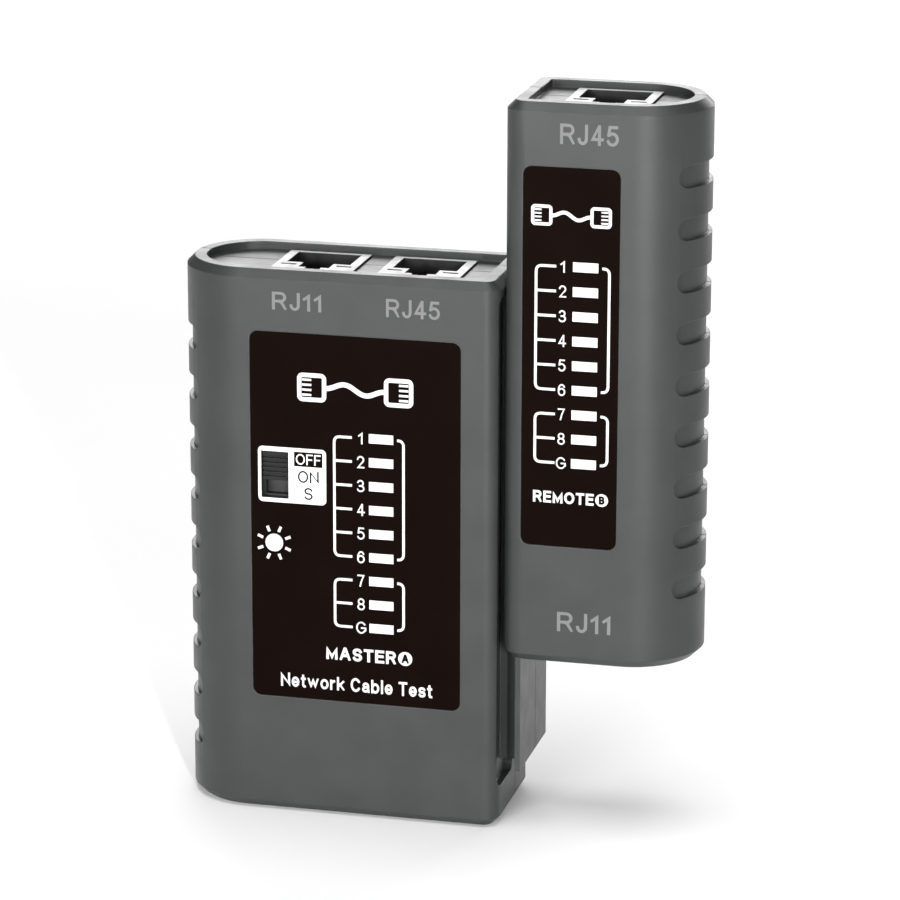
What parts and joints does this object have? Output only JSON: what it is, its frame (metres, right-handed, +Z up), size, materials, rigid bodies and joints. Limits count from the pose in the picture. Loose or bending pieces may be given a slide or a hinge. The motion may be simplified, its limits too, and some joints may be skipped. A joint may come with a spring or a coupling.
{
  "type": "network cable tester",
  "caption": "Handheld network cable tester: a battery-powered master unit with sockets, switch and indicator windows, and a detachable remote unit sliding on its side rail.",
  "frame": {"origin": "centre of the footprint of master and remote together, on the plane of the master's base", "axes": "+Z up along both units, -Y out of the labelled front faces, +X from the master towards the remote"},
  "size_m": [0.098, 0.0268, 0.1373],
  "materials": {
    "shell_plastic": "fine matte moulded ABS",
    "label_film": "satin printed film",
    "clear_moulding": "milky diffusing moulding",
    "jack_plastic": "smooth moulded",
    "contact_brass": "gold-plated spring wire",
    "screw_steel": "zinc-plated",
    "board_laminate": "green solder mask",
    "knob_plastic": "ribbed moulded",
    "black_plastic": "moulded",
    "battery_can": "printed steel can, plain",
    "red_insulation": "PVC insulation"
  },
  "bodies": {
    "master": {"master_front_shell": "shell_plastic", "master_rear_shell": "shell_plastic", "master_label": "label_film", "master_light_guide": "clear_moulding", "power_lens": "clear_moulding", "switch_body": "black_plastic", "master_circuit_board": "board_laminate", "master_rj11_jack": "jack_plastic", "master_rj11_contacts": "contact_brass", "master_rj45_jack": "jack_plastic", "master_rj45_contacts": "contact_brass", "master_led_1": "clear_moulding", "master_led_2": "clear_moulding", "master_led_3": "clear_moulding", "master_led_4": "clear_moulding", "master_led_5": "clear_moulding", "master_led_6": "clear_moulding", "master_led_7": "clear_moulding", "master_led_8": "clear_moulding", "master_led_9": "clear_moulding", "power_led": "clear_moulding", "sequencer_chip": "black_plastic", "timer_chip": "black_plastic", "smoothing_capacitor": "black_plastic", "battery_9v": "battery_can", "battery_snap": "black_plastic", "battery_lead_red": "red_insulation", "battery_lead_black": "black_plastic", "master_case_screw_1": "screw_steel", "master_case_screw_2": "screw_steel", "master_case_screw_3": "screw_steel", "master_case_screw_4": "screw_steel"},
    "switch": {"switch_knob": "knob_plastic"},
    "door": {"battery_door": "shell_plastic"},
    "remote": {"remote_front_shell": "shell_plastic", "remote_rear_shell": "shell_plastic", "remote_label": "label_film", "remote_light_guide": "clear_moulding", "remote_circuit_board": "board_laminate", "remote_rj45_jack": "jack_plastic", "remote_rj45_contacts": "contact_brass", "remote_rj11_jack": "jack_plastic", "remote_rj11_contacts": "contact_brass", "remote_led_1": "clear_moulding", "remote_led_2": "clear_moulding", "remote_led_3": "clear_moulding", "remote_led_4": "clear_moulding", "remote_led_5": "clear_moulding", "remote_led_6": "clear_moulding", "remote_led_7": "clear_moulding", "remote_led_8": "clear_moulding", "remote_led_9": "clear_moulding", "remote_diode_array": "black_plastic", "remote_case_screw_1": "screw_steel", "remote_case_screw_2": "screw_steel"}
  },
  "joints": [
    {"name": "remote_slide", "type": "slide", "parent": "master", "child": "remote", "axis": [0, 0, 1], "range_m": [-0.0333, 0.06]},
    {"name": "switch_slide", "type": "slide", "parent": "master", "child": "switch", "axis": [0, 0, -1], "range_m": [0, 0.0033]},
    {"name": "battery_door_hinge", "type": "hinge", "parent": "master", "child": "door", "pos_m": [-0.01595, 0.0125, 0.0052], "axis": [-1, 0, 0], "range_deg": [0, 90]}
  ]
}
